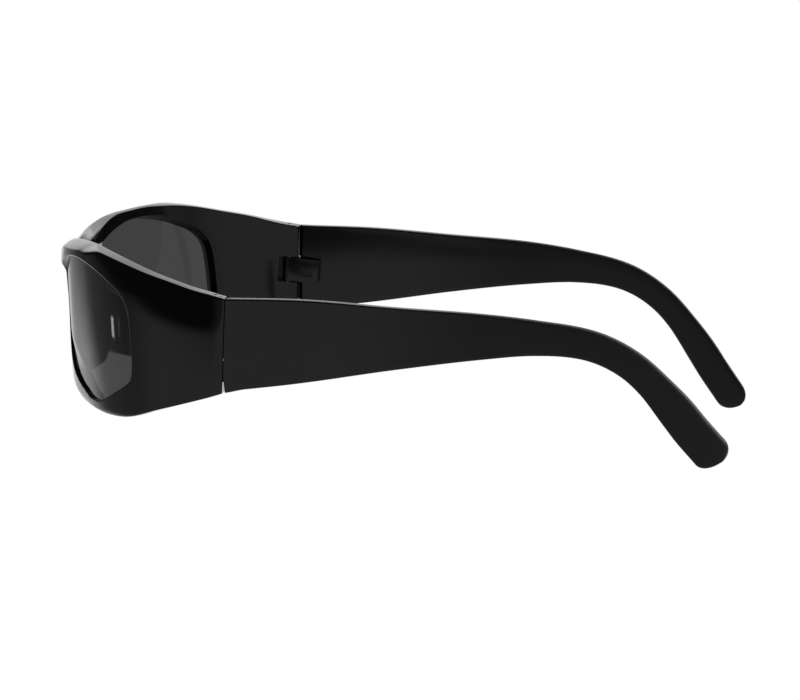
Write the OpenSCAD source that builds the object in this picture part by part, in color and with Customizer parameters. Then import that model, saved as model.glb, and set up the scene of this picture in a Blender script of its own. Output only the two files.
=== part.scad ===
// Wraparound sunglasses: a one piece moulded front, two lenses held in grooves,
// two folding temples and the two hinge pins they turn on.
// X points to the wearer's left, Y to the rear, Z up. The glasses stand on Z = 0
// on the lower rims and the tips of the temples.

/* [Overall] */
// Outer width of the front at the hinges, at hinge height
front_width = 135.2; // [128:0.2:142]
// Distance from the seam forward to the front of the brow
front_reach = 50.4; // [46:0.2:55]
// Distance from the seam back to the end of the temples
temple_reach = 120.5; // [112:0.5:128]
// Height of the middle of the hinge above the table
hinge_height = 21.6; // [20.8:0.1:22.4]
// How far the side walls lean in, for each unit of height
side_lean = 0.07; // [0.02:0.01:0.1]
// How far the front leans back towards the cheek, for each unit of height
front_tilt = 0.145; // [0.1:0.005:0.2]
// How far the brow stands ahead of the face below it
brow_step = 1.2; // [0.6:0.05:1.6]
// Height over which the brow steps back to the face below it
brow_step_height = 4.5; // [3:0.1:6]

/* [Front] */
// Wall thickness at the side
side_wall = 3.3; // [2.9:0.1:3.8]
// Wall thickness at the seam, where the hinge is
end_wall = 5.2; // [5:0.05:5.4]
// Depth of the brow and rims at the middle of the front
front_wall = 5; // [4.6:0.1:6]
// Height of the top edge in the middle, over the bridge
brow_middle = 33.6; // [33.3:0.1:34.4]
// Height of the top edge at its highest, over the lenses
brow_peak = 39.1; // [38.6:0.1:39.6]
// Height of the top edge at the seam
seam_top = 33.6; // [33:0.1:34.2]
// Height of the lower edge at the seam
seam_bottom = 11; // [10.4:0.1:11.6]
// Height of the underside of the bridge
bridge_bottom = 27.6; // [26.8:0.1:28.2]
// How far the inner edge of the brow drops over the nose
brow_fall = 3.9; // [2:0.1:4.2]
// Height of the rounded shoulder of the brow in the middle
brow_round = 2.3; // [2:0.1:2.8]
// Height of the same shoulder at the seam
seam_round = 0.8; // [0.5:0.1:1.2]
// Rounding of the lower outer edge at the seam
lower_round = 0.6; // [0.4:0.1:1]
// Rounding of the same edge under the lenses
lip_round = 1.8; // [1:0.1:2]
// Rounding of the inner edges
inner_round = 0.5; // [0.3:0.1:0.8]
// How much shallower the rims are near the nose than further out
nose_thinning = 1.2; // [0:0.1:1.4]
// Extra depth of the rims where they bear on the nose
nose_pad_depth = 2.4; // [0:0.2:4]
// Height over which that extra depth fades out under the bridge
nose_pad_fade = 10; // [8:0.5:12]
// Height at which it begins, above the table
nose_pad_start = 4; // [2:0.5:6]

/* [Nose pads] */
// How far a nose pad stands out behind the rim
pad_reach = 5; // [3:0.2:6]
// Thickness of a nose pad
pad_thickness = 1.4; // [1.2:0.1:1.6]
// How far a nose pad splays outward, for each unit of its reach
pad_splay = 0.3; // [0.1:0.05:0.4]
// How far a nose pad lies in from the edge of the rim
pad_inset = 0.3; // [0.2:0.05:0.4]
// How far a nose pad is rooted in the rim
pad_root = 1.5; // [1.2:0.1:1.8]

/* [Lenses] */
// Thickness of a lens
lens_thickness = 1.6; // [1.2:0.1:1.8]
// How far a lens lies behind the outer face in the middle of the front
lens_recess_front = 0.85; // [0.6:0.05:0.95]
// How far it lies behind the outer face at the side
lens_recess_side = 0.35; // [0.3:0.05:0.7]
// How far a lens reaches into the groove around its opening
lens_bite = 0.6; // [0.4:0.05:0.8]
// Clearance between lens and groove
lens_gap = 0.03; // [0.02:0.01:0.05]
// How much larger an opening is right behind its lens than in front of it
lens_ledge = 0.1; // [0.05:0.05:0.2]
// How much larger an opening is at the inner face than in front of the lens
lens_flare = 1; // [0.4:0.1:1.3]

/* [Temples] */
// Thickness of a temple
temple_thickness = 3.3; // [2.9:0.1:3.6]
// How far the middle of a temple lies in from the outer width, at the seam
temple_inset = 1.6; // [1.4:0.1:1.8]
// How far a temple heads inward at the seam, for each unit of length
temple_toe_in = 0.095; // [0.05:0.005:0.12]
// Rounding of the long edges of a temple
temple_round = 1.1; // [0.7:0.1:1.3]
// How far the outer face of a temple bulges
temple_crown = 0.25; // [0.1:0.05:0.4]
// How far the seam runs back, for each unit of height below the notch
seam_lean = 0.06; // [0.03:0.005:0.07]
// Gap between front and temple at the top of the seam
seam_gap = 0.4; // [0.35:0.05:0.6]
// How much wider the seam is at its lower end
seam_flare = 0.25; // [0:0.05:0.4]

/* [Hinges] */
// How far a hinge pin lies in from the outer width
pin_inset = 3.9; // [3.8:0.05:4]
// Distance from the seam forward to a hinge pin
pin_ahead = 2.4; // [2.3:0.05:2.5]
// Radius of a hinge pin
pin_radius = 0.6; // [0.5:0.05:0.7]
// Radius of the head of a hinge pin
pin_head_radius = 1.1; // [1:0.05:1.2]
// Height of the head of a hinge pin
pin_head_height = 0.7; // [0.5:0.05:0.9]
// Running clearance between a pin and the eye of its temple
pin_gap = 0.05; // [0.03:0.01:0.08]
// Clearance of a pin in the front, where it is held
pin_hold = 0.01; // [0.01:0.005:0.02]
// How deep a pin sits in the lower half of the hinge
pin_depth = 4.5; // [3.5:0.1:5]
// Radius of the eye at the end of a temple
eye_radius = 1.45; // [1.35:0.05:1.55]
// Height of the eye
eye_height = 6.1; // [5.6:0.1:6.6]
// Gap above and below the eye
eye_gap = 0.3; // [0.25:0.05:0.4]
// Height of the middle of the eye over the middle of the hinge
eye_lift = 0.5; // [0.2:0.1:0.8]
// Length of the notch for the eye, from the seam forward
notch_length = 4.8; // [4.6:0.1:6]
// Gap between the eye and the outer wall of the notch
notch_gap = 0.35; // [0.3:0.05:0.45]
// Bevel of the inner edge of a temple at the seam
seam_bevel = 0.8; // [0.7:0.05:1]
// How far the notch runs inward from the pin, out of the wall
notch_reach = 5; // [4:0.5:6]
// Length of the raised block on a temple behind the seam
block_length = 5.7; // [4.5:0.1:7]
// How far that block is set into the temple
block_set = 0.8; // [0.5:0.1:1]
// Distance behind the seam of the small pocket in the block
pocket_start = 1.5; // [1:0.1:2]
// Length of the pocket
pocket_length = 2.4; // [1.5:0.1:3]
// Height of the pocket
pocket_height = 1.8; // [1:0.1:2.4]
// How far the pocket's floor lies under the middle of the eye
pocket_drop = 1.4; // [1:0.1:2]
// Depth of the pocket
pocket_depth = 0.6; // [0.3:0.1:0.8]

/* [Hidden] */
$fn = 48;
half_width = front_width / 2;
temple_offset = half_width - temple_inset;
pin_offset = half_width - pin_inset;
seam_y = (front_reach - temple_reach) / 2;
brow_edge = brow_middle - brow_round;
eye_mid = hinge_height + eye_lift;
notch_height = eye_height + 2 * eye_gap;
notch_floor = eye_mid - notch_height / 2;
notch_roof = eye_mid + notch_height / 2;
pin_y = seam_y - pin_ahead;
head_top = seam_top + 0.2;
pin_floor = notch_floor - pin_depth;
cut = 1;
side_knots = 17;
nose_knots = 13;
nose_span = 24;
face_steps = 4;
arc_steps = 4;
lens_steps = 42;
lens_rings = 4;
degree_length = 1.05;
temple_steps = 30;
cap_steps = 5;

// Angles from the middle of the front where its section starts to change, and over
// how many degrees
seam_turn = 66;
wall_turn = 72;
wall_turn_span = 12;
thin_turn = 14;
thin_turn_span = 16;
brow_turn = 38;
brow_turn_span = 18;
nose_turn = 25;
nose_turn_span = 13;
nose_pad_angle = 13;
nose_pad_span = 11;
nose_pad_ease = 7;
lip_turn = 48;
lip_turn_span = 26;
pad_from = 8.4;
pad_to = 19;
pad_rise = 2.4;
pad_fall = 4;
pad_steps = 14;
pad_turn = 30;
edge_step = 0.1;

// Shares of the wall's depth taken by the shoulder of the brow and the inner edge
shoulder_least = 0.22;
shoulder_more = 0.66;
shoulder_nose = 0.3;
shoulder_bend = 0.6;
shoulder_drop = 0.2;
inner_edge_part = 0.1;
lower_edge_part = 0.15;

// Shares of a lens's thickness where the straight front of its opening ends and
// the wider rear begins, and how far past the wall that rear is cut
front_cut_part = 0.4;
rear_cut_part = 0.8;
rear_reach = 2;

// How a temple bows out in its middle and hooks in towards its tip
temple_bow = 0.002256;
temple_hook = 0.0000272;

// Distances behind the seam over which a temple's seam face, its height and its
// lean settle, and how much its tip thins
seam_settle = 6;
tilt_settle = 16;
lean_settle = 70;
tip_thinning = 0.9;
tip_angle = 84;

// Angle from the middle of the front and height of the top edge
top_knots = [
  [0, brow_middle], [8, brow_middle + 0.9], [15, brow_peak - 2.5], [21.5, brow_peak - 1.1],
  [28.5, brow_peak - 0.4], [35, brow_peak], [42, brow_peak - 0.2], [48.5, brow_peak - 0.6],
  [54.5, brow_peak - 1.2], [64.3, seam_top + 3], [72.8, seam_top + 2],
  [81, seam_top + 0.9], [90, seam_top]
];

// Angle from the middle of the front and height of the lower edge
low_knots = [
  [0, bridge_bottom], [4.5, bridge_bottom - 0.3], [7.2, bridge_bottom - 3], [9.4, 18.6],
  [11.5, 12.6], [14.5, 6.8], [18.5, 3.2], [24, 1.3], [31, 0.3], [37, 0.1], [43, 0],
  [49, 0.15], [56.3, 0.9], [61.5, 2], [70.6, seam_bottom - 6.1], [78.6, seam_bottom - 3.6],
  [86, seam_bottom - 1.3], [90, seam_bottom]
];

// Angle from the middle of the front and height of points around a lens opening
lens_knots = [
  [10.7, 21.5], [12.2, 25.6], [14.8, 28.7], [18.2, 31], [22.5, 33], [27.5, 34.6],
  [33.5, 35.2], [40, 34.7], [46, 33.7], [51, 32.3], [55, 30.8], [57.8, 28.6], [59.2, 25.9],
  [60, 22.2], [60.6, 18], [61, 13.8], [60.6, 10.8], [58.6, 9], [54.4, 6.8], [50.5, 4.9],
  [46, 3.2], [41, 2.8], [35.7, 3.9], [30, 5], [24, 6.6], [18.5, 9.2], [14, 13], [11.3, 17.5]
];
lens_middle = [36, 20];

// Along a temple: distance behind the seam, height of the middle and half its height
temple_knots = [
  [0, (seam_top + seam_bottom) / 2 + 0.1, (seam_top - seam_bottom) / 2 - 0.1],
  [20, 25.2, 9.75], [40, 27.65, 7.5], [60, 29.85, 5.55], [75, 30.55, 4.1],
  [temple_reach - 32, 29.25, 3.55], [temple_reach - 19.5, 21.85, 3.55],
  [temple_reach - 12.5, 13.3, 4.15], [temple_reach - 4.23, 4.23, 4.23]
];

function clamped(t) = min(1, max(0, t));
function eased(t) = clamped(t) * clamped(t) * (3 - 2 * clamped(t));

// Slope of a curve through the knots at one of them
function slope(knots, i, c) =
  i == 0 && knots[0][0] == 0 && c == 1 && len(knots[0]) == 2 ? 0 :
  let (a = max(0, i - 1), b = min(len(knots) - 1, i + 1))
  (knots[b][c] - knots[a][c]) / (knots[b][0] - knots[a][0]);

function span_at(knots, t) =
  max([0, for (i = [1 : len(knots) - 2]) if (t >= knots[i][0]) i]);

// Height of a smooth curve through the knots
function along(knots, t, c = 1) =
  let (
    i = span_at(knots, t),
    w = knots[i + 1][0] - knots[i][0],
    u = (t - knots[i][0]) / w
  )
  knots[i][c] * (1 + 2 * u) * (1 - u) * (1 - u)
  + slope(knots, i, c) * w * u * (1 - u) * (1 - u)
  + knots[i + 1][c] * u * u * (3 - 2 * u)
  + slope(knots, i + 1, c) * w * u * u * (u - 1);

function top_edge(a) = along(top_knots, abs(a));
function low_edge(a) = along(low_knots, abs(a));

// Half width and depth of the outer face at a height
function face_side(h) = half_width - side_lean * (h - hinge_height);
function face_front(h) = front_reach - front_tilt * max(0, brow_edge - h)
  - brow_step * eased((brow_edge - h) / brow_step_height);

function seam_back(h) = seam_lean * (notch_roof - h);

// Point of the front: angle, height and how far it lies behind the outer face
function shell(a, h, side, front) = [
  (face_side(h) - side) * sin(a),
  seam_y - (face_front(h) - front) * cos(a)
    + seam_back(h) * eased((abs(a) - seam_turn) / (90 - seam_turn)),
  h
];

function nose_pad(a, h) =
  nose_pad_depth * eased((nose_pad_span - abs(abs(a) - nose_pad_angle)) / nose_pad_ease)
  * eased((bridge_bottom + 1 - h) / nose_pad_fade)
  * eased((h - nose_pad_start) / (2 * nose_pad_start));

// The wall thickens towards the seam, where its inner face is upright
function side_depth(a, h) =
  side_wall + (end_wall - side_wall - side_lean * (h - hinge_height))
  * eased((abs(a) - wall_turn) / wall_turn_span);

function front_depth(a) =
  front_wall - nose_thinning * (1 - eased((abs(a) - thin_turn) / thin_turn_span));

function wall_point(a, h, part) =
  shell(
    a, h,
    side_depth(a, h) * part, front_depth(a) * part + nose_pad(a, h) * eased(2 * part - 1)
  );

// Outline of the front's section at an angle, from the lower outer edge round
function front_section(a) =
  let (
    top = top_edge(a),
    low = low_edge(a),
    ahead = 1 - eased((abs(a) - brow_turn) / brow_turn_span),
    shoulder = seam_round + (brow_round - seam_round) * ahead,
    over_nose = clamped((nose_turn - abs(a)) / nose_turn_span),
    shoulder_part = shoulder_least + shoulder_more * ahead - shoulder_nose * over_nose,
    edge_part = 1 - inner_edge_part,
    fall = brow_fall * over_nose * over_nose,
    bend = 1 + shoulder_bend * ahead,
    lip = lower_round + (lip_round - lower_round) * (1 - eased((abs(a) - lip_turn) / lip_turn_span)),
    low_part = lip / front_wall,
    high_face = top - shoulder,
    high_inner = top - fall - inner_round,
    low_face = low + lip
  )
  [
    for (i = [0 : face_steps]) wall_point(a, low_face + (high_face - low_face) * i / face_steps, 0),
    for (i = [1 : arc_steps]) let (t = 90 * i / arc_steps)
      wall_point(a, high_face + shoulder * sin(t) ^ bend, shoulder_part * (1 - cos(t) ^ bend)),
    wall_point(a, top - fall * shoulder_drop, (shoulder_part + edge_part) / 2),
    for (i = [0 : 3]) let (t = 30 * i, part = edge_part + inner_edge_part * sin(t))
      wall_point(a, top - inner_round * (1 - cos(t)) - fall * (4 * part - 3), part),
    for (i = [1 : face_steps])
      wall_point(a, high_inner + (low + inner_round - high_inner) * i / face_steps, 1),
    for (i = [1 : 3]) let (t = 30 * i)
      wall_point(a, low + inner_round * (1 - sin(t)), 1 - lower_edge_part * (1 - cos(t))),
    for (i = [0 : arc_steps - 1]) let (t = 90 * i / arc_steps)
      wall_point(a, low + lip * (1 - cos(t)), low_part * (1 - sin(t)))
  ];

front_angles = [
  for (i = [0 : side_knots - 1]) -90 + (90 - nose_span) * i / side_knots,
  for (i = [-nose_knots : nose_knots]) nose_span * i / nose_knots,
  for (i = [1 : side_knots]) nose_span + (90 - nose_span) * i / side_knots
];

function middle(points) =
  let (ones = [for (q = points) 1])
  [for (c = [0 : 2]) [for (q = points) q[c]] * ones / len(points)];

// Solid through a row of sections that all have the same number of points
module skin(sections) {
  rows = len(sections);
  n = len(sections[0]);
  polyhedron(
    points = [for (s = sections) each s, middle(sections[0]), middle(sections[rows - 1])],
    faces = [
      for (j = [0 : n - 1]) let (k = (j + 1) % n, last = (rows - 1) * n) each [
        [rows * n, k, j],
        [rows * n + 1, last + j, last + k]
      ],
      for (i = [0 : rows - 2], j = [0 : n - 1])
        let (k = (j + 1) % n) each [
          [i * n + j, (i + 1) * n + k, (i + 1) * n + j],
          [i * n + j, i * n + k, (i + 1) * n + k]
        ]
    ],
    convexity = 8
  );
}

// Section of a nose pad where the edge of the rim has an angle
function pad_section(a) =
  let (
    low = low_edge(a),
    edge = wall_point(a, low + inner_round, 1),
    step = wall_point(a + edge_step, low_edge(a + edge_step) + inner_round, 1) - edge,
    across = [-step[2], 0, step[0]] / norm([step[0], step[2]]),
    stand = pad_reach * eased((a - pad_from) / pad_rise) * eased((pad_to - a) / pad_fall)
      - inner_round,
    bend = pad_thickness / 2
  )
  [
    for (q = concat(
      [[pad_thickness, -pad_root]],
      [for (t = [0 : pad_turn : 180]) [bend + bend * cos(t), stand - bend + bend * sin(t)]],
      [[0, -pad_root]]
    ))
      edge + across * (pad_inset + q[0] + pad_splay * max(0, q[1])) + [0, q[1], 0]
  ];

module nose_pad_left() {
  skin([for (i = [0 : pad_steps]) pad_section(pad_from + (pad_to - pad_from) * i / pad_steps)]);
}

// Point on the closed curve through the lens knots, t from 0 to 1
function lens_curve(t) =
  let (
    n = len(lens_knots),
    i = floor(t * n),
    u = t * n - i,
    p = [for (k = [-1 : 2]) lens_knots[(i + k + n) % n]]
  )
  p[1] + 0.5 * u * (p[2] - p[0] + u * (2 * p[0] - 5 * p[1] + 4 * p[2] - p[3]
    + u * (3 * (p[1] - p[2]) + p[3] - p[0])));

// The same curve moved outward by a distance
function lens_edge(t, grow) =
  let (
    d = lens_curve((t + 0.004) % 1) - lens_curve((t + 0.996) % 1),
    along_mm = [d[0] * degree_length, d[1]],
    unit = along_mm / norm(along_mm)
  )
  lens_curve(t) + grow * [-unit[1] / degree_length, unit[0]];

// Rings of points from the middle of a lens out to its edge
function lens_points(grow) =
  let (edge = [for (j = [0 : lens_steps - 1]) lens_edge(j / lens_steps, grow)])
  [for (k = [1 : lens_rings], q = edge) lens_middle + (q - lens_middle) * k / lens_rings];

// Curved slab over the lens outline between two depths behind the outer face
module lens_slab(grow_from, side_from, front_from, grow_to, side_to, front_to) {
  n = lens_steps;
  m = lens_rings;
  outer = [for (q = lens_points(grow_from)) shell(q[0], q[1], side_from, front_from)];
  inner = [for (q = lens_points(grow_to)) shell(q[0], q[1], side_to, front_to)];
  c = lens_middle;
  polyhedron(
    points = concat(outer, inner, [
      shell(c[0], c[1], side_from, front_from),
      shell(c[0], c[1], side_to, front_to)
    ]),
    faces = [
      for (j = [0 : n - 1]) let (k = (j + 1) % n) each [
        [2 * n * m, j, k],
        [2 * n * m + 1, n * m + k, n * m + j],
        [n * (m - 1) + j, n * m + n * (m - 1) + j, n * m + n * (m - 1) + k],
        [n * (m - 1) + j, n * m + n * (m - 1) + k, n * (m - 1) + k]
      ],
      for (i = [0 : m - 2], j = [0 : n - 1])
        let (k = (j + 1) % n, a = i * n + j, b = i * n + k, d = a + n, e = b + n) each [
          [a, d, e],
          [a, e, b],
          [n * m + a, n * m + e, n * m + d],
          [n * m + a, n * m + b, n * m + e]
        ]
    ],
    convexity = 4
  );
}

module lens_body(grow, gap) {
  lens_slab(
    grow, lens_recess_side - gap, lens_recess_front - gap,
    grow, lens_recess_side + lens_thickness + gap, lens_recess_front + lens_thickness + gap
  );
}

// The opening: straight from the outer face to the lens, wider behind it
module lens_cuts() {
  side_start = lens_recess_side + rear_cut_part * lens_thickness;
  front_start = lens_recess_front + rear_cut_part * lens_thickness;
  side_end = lens_recess_side + front_cut_part * lens_thickness;
  front_end = lens_recess_front + front_cut_part * lens_thickness;
  lens_slab(0, -side_end, -front_end, 0, side_end, front_end);
  lens_slab(
    lens_ledge, side_start, front_start,
    lens_ledge + (lens_flare - lens_ledge) * rear_reach,
    side_start + (side_wall - side_start) * rear_reach,
    front_start + (front_wall - front_start) * rear_reach
  );
  lens_body(lens_bite + lens_gap, lens_gap);
}

module hinge_cuts() {
  notch_wall = pin_offset + eye_radius + notch_gap;
  translate([pin_offset - notch_reach, seam_y - notch_length, notch_floor])
    cube([notch_wall - pin_offset + notch_reach, notch_length + cut, notch_height]);
  translate([pin_offset, pin_y, pin_floor])
    cylinder(r = pin_radius + pin_hold, h = head_top - pin_floor + cut);
  translate([pin_offset, pin_y, head_top - pin_head_height])
    cylinder(r = pin_head_radius + pin_hold, h = pin_head_height + cut);
}

module front_frame() {
  color([0.06, 0.06, 0.06]) {
    difference() {
      skin([for (a = front_angles) front_section(a)]);
      lens_cuts();
      mirror([1, 0, 0]) lens_cuts();
      hinge_cuts();
      mirror([1, 0, 0]) hinge_cuts();
    }
    nose_pad_left();
    mirror([1, 0, 0]) nose_pad_left();
  }
}

module lens_left() {
  color([0.2, 0.2, 0.22]) lens_body(lens_bite, 0);
}

module lens_right() {
  color([0.2, 0.2, 0.22]) mirror([1, 0, 0]) lens_body(lens_bite, 0);
}

// Distance from the midplane to the middle of a temple, curving in to the ear
function temple_line(v) =
  temple_offset - temple_toe_in * v + temple_bow * v ^ 2 - temple_hook * v ^ 3;

function temple_direction(v) =
  let (s = temple_state(v + 0.5) - temple_state(v - 0.5)) s / norm(s);

function temple_state(v) = [v, along(temple_knots, v, 1)];

// Outline of a temple's section: half height, half thickness, with rounded edges
function temple_outline(half, thick) =
  let (r = min(temple_round, thick - 0.05, half - 0.05))
  [
    for (q = [[1, 1], [-1, 1], [-1, -1], [1, -1]], i = [0 : 3])
      let (
        t = 30 * (q[0] * q[1] > 0 ? i : 3 - i),
        x = q[0] * (thick - r + r * cos(t)),
        z = q[1] * (half - r + r * sin(t)),
        bulge = q[0] > 0 ? temple_crown * (1 - eased(abs(z) / half)) : 0
      ) [x + bulge, z]
  ];

function with_bulge(half, thick) =
  let (o = temple_outline(half, thick), straight = half - min(temple_round, half - 0.05))
  concat(
    o,
    [for (z = [-0.6, -0.2, 0.2, 0.6])
      [thick + temple_crown * (1 - eased(abs(z) * straight / half)), z * straight]]
  );

// A temple's section at a distance behind the seam
function temple_section(v, shift, half, thick) =
  let (
    c = temple_state(v),
    d = temple_direction(v),
    lean = side_lean * (1 - eased(v / lean_settle)),
    tilt = eased(v / tilt_settle)
  )
  [for (q = with_bulge(half, thick))
    let (
      y = c[0] + shift * d[0] - q[1] * d[1] * tilt,
      z = c[1] + shift * d[1] + q[1] * (1 + (d[0] - 1) * tilt),
      root = 1 - eased(v / seam_settle),
      seam_here = seam_gap + seam_back(z)
        + seam_flare * (seam_top - z) / (seam_top - seam_bottom),
      bevel = v == 0 && q[0] < 0 ? seam_bevel + side_lean * max(0, z - hinge_height) : 0
    )
    [
      temple_line(y) - lean * (z - hinge_height) + q[0] + bevel,
      seam_y + seam_here * root + y,
      z
    ]
  ];

module temple_body() {
  last = temple_knots[len(temple_knots) - 1];
  half = temple_thickness / 2;
  skin(concat(
    [temple_section(0, 0, temple_knots[0][2], half)],
    [for (i = [0 : temple_steps]) let (v = seam_bevel + (last[0] - seam_bevel) * i / temple_steps)
      temple_section(v, 0, along(temple_knots, v, 2), half)],
    [for (i = [1 : cap_steps]) let (t = tip_angle * i / cap_steps)
      temple_section(
        last[0], last[2] * sin(t), last[2] * cos(t), half - tip_thinning * (1 - cos(t))
      )]
  ));
}

module temple() {
  arm_reach = temple_offset - temple_thickness / 2 + block_set;
  eye_floor = eye_mid - eye_height / 2;
  difference() {
    union() {
      temple_body();
      translate([pin_offset, pin_y, eye_floor]) cylinder(r = eye_radius, h = eye_height);
      translate([pin_offset - eye_radius, pin_y, eye_floor])
        cube([arm_reach - pin_offset + eye_radius, pin_ahead + block_length, eye_height]);
    }
    translate([pin_offset, pin_y, eye_floor - cut])
      cylinder(r = pin_radius + pin_gap, h = eye_height + 2 * cut);
    translate([pin_offset - eye_radius - cut, seam_y + pocket_start, eye_mid - pocket_drop])
      cube([cut + pocket_depth, pocket_length, pocket_height]);
  }
}

module temple_left() {
  color([0.07, 0.07, 0.07]) temple();
}

module temple_right() {
  color([0.07, 0.07, 0.07]) mirror([1, 0, 0]) temple();
}

module hinge_pin() {
  translate([pin_offset, pin_y, pin_floor])
    cylinder(r = pin_radius, h = head_top - pin_floor - pin_head_height / 2);
  translate([pin_offset, pin_y, head_top - pin_head_height])
    cylinder(r = pin_head_radius, h = pin_head_height);
}

module hinge_pin_left() {
  color([0.5, 0.5, 0.5]) hinge_pin();
}

module hinge_pin_right() {
  color([0.5, 0.5, 0.5]) mirror([1, 0, 0]) hinge_pin();
}

front_frame();
lens_left();
lens_right();
temple_left();
temple_right();
hinge_pin_left();
hinge_pin_right();
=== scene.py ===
import bpy
import math
import numpy as np
from mathutils import Matrix, Vector


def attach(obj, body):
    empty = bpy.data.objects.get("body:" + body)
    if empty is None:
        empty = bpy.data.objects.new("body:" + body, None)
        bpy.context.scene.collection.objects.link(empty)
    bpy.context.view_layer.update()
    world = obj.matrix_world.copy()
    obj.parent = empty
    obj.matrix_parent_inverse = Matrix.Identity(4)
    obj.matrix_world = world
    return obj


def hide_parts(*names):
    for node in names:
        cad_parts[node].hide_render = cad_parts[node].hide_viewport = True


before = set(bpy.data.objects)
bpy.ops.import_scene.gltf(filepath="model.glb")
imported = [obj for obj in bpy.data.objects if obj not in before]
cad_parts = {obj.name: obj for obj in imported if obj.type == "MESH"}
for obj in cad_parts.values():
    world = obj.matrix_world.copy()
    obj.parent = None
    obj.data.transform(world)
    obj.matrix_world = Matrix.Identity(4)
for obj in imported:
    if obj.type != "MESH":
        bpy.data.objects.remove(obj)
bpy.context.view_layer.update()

MM = 0.001

# Camera, from a fit of the mirrored halves to the photograph
CAMERA_AT = Vector((1.278931, 0.133314, 0.230892))
CAMERA_AIM = Vector((0.0, 0.000192, 0.014259))
CAMERA_ROLL = math.radians(4.668561)
CAMERA_LENS = 235.569


def add_camera():
    data = bpy.data.cameras.new("camera")
    data.lens = CAMERA_LENS
    data.sensor_width = 36
    data.clip_start, data.clip_end = 0.1, 20
    cam = bpy.data.objects.new("camera", data)
    bpy.context.scene.collection.objects.link(cam)
    look = (CAMERA_AIM - CAMERA_AT).normalized()
    right = look.cross(Vector((0, 0, 1))).normalized()
    up = right.cross(look)
    c, s = math.cos(CAMERA_ROLL), math.sin(CAMERA_ROLL)
    x, y = right * c + up * s, up * c - right * s
    cam.matrix_world = Matrix((
        (x[0], y[0], -look[0], CAMERA_AT[0]),
        (x[1], y[1], -look[1], CAMERA_AT[1]),
        (x[2], y[2], -look[2], CAMERA_AT[2]),
        (0, 0, 0, 1),
    ))
    bpy.context.scene.camera = cam


add_camera()

# Sizes in millimetres, nearly all as in the CAD source. Angles are degrees from the middle of
# the front. How fast a thing leans is millimetres per millimetre. A pair with a name such as
# END_THICKENS is the stretch over which that happens: nothing at its first number, all at its
# second.

# The front's faces and walls
HALF_WIDTH = 67.6  # at the hinge height
FRONT_REACH = 50.4  # from the seams forward to the brow
TEMPLE_REACH = 120.5  # from the seams back to the tips
HINGE_HEIGHT = 21.6  # near the middle of the seams
SIDE_LEAN = 0.07  # how fast the sides lean in with height
SIDE_CROWN = 0.0018  # and how fast they curve in
FRONT_TILT = 0.145  # how fast the face runs back below the brow
SIDE_WALL = 3.3
END_WALL = 5.2
FRONT_WALL = 5.0
END_THICKENS = (72, 84)
NOSE_THINNING = 1.2  # how much thinner the wall is over the nose
NOSE_THINS = (30, 14)
NOSE_PAD_DEPTH = 2.4  # how much thicker it is beside the nose
NOSE_PAD_AT = 13  # the angle of the thickest place
NOSE_PAD_SPREAD = (11, 4)  # angles away from it
NOSE_PAD_FOOT = (4, 12)  # heights

# The front's edges
BROW_MIDDLE = 33.6
BROW_PEAK = 39.1
SEAM_TOP = 33.6
SEAM_BOTTOM = 11.0
BRIDGE_BOTTOM = 27.6
BROW_ROUND = 2.3
SEAM_ROUND = 0.2
LOWER_ROUND = 0.6
INNER_ROUND = 0.5
END_ROUND = 0.1  # round the end faces at the seams
LIP_ROUND = 1.8  # under the lenses, where the lower edge is rounder
LIP_ROUNDS = (74, 48)

# The brow: it stands out by a step, falls over the nose and leans back toward the temples
BROW_STEP = 1.2  # how far the brow stands out
STEP_HEIGHT = 3.6  # the height over which it does
STEP_LIFT = 0.4  # how far above BROW_EDGE it starts
STEP_GOES = (20, 42)  # where the step goes, toward the temples
BROW_FALL = 3.9  # how much lower the inner edge is over the nose
BROW_FALLS = (25, 12)
BROW_BENDS = (48, 34)  # where the shoulder gets larger
BROW_BEND = 0.6  # how far its curve's power is above a circle's
BROW_LEAN = 0.12  # how fast the leaning part leans
LEAN_SPAN = 5.0  # the height over which the lean begins
LEAN_STARTS = (30, 46)
LEAN_STOPS = (90, 84)
LEAN_KNOTS = [
    (0, 36.0), (40, 36.0), (46, 34.4), (51, 32.8), (55, 31.0), (60, 27.8), (66, 25.0),
    (75, 23.6), (90, 23.5),
]

# Shares of the wall's depth from its outer face: where the shoulder ends, and what follows
SHOULDER_SEAM = 0.05  # at the seams
SHOULDER_BROW = 0.83  # more than that along the brow
SHOULDER_NOSE = 0.3  # less than that over the nose
FLAT_END = 0.9  # where the flat top behind it ends
FLAT_FALL = 0.6  # the share of the fall that the flat takes
BOTTOM_INSET = 0.15  # the round at the inside of the lower edge

# The nose pads
PAD_REACH = 5.0  # how far a pad stands back
PAD_THICKNESS = 1.4
PAD_SPLAY = 0.3  # how fast it leans away from the nose
PAD_INSET = 0.3  # from the rim's edge
PAD_ROOT = 1.5  # how deep it starts in the wall
PAD_FROM = 8.4  # angle
PAD_TO = 19.0  # angle
PAD_RISE = 2.4  # degrees over which it rises
PAD_DROP = 4.0  # degrees over which it ends

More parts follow.
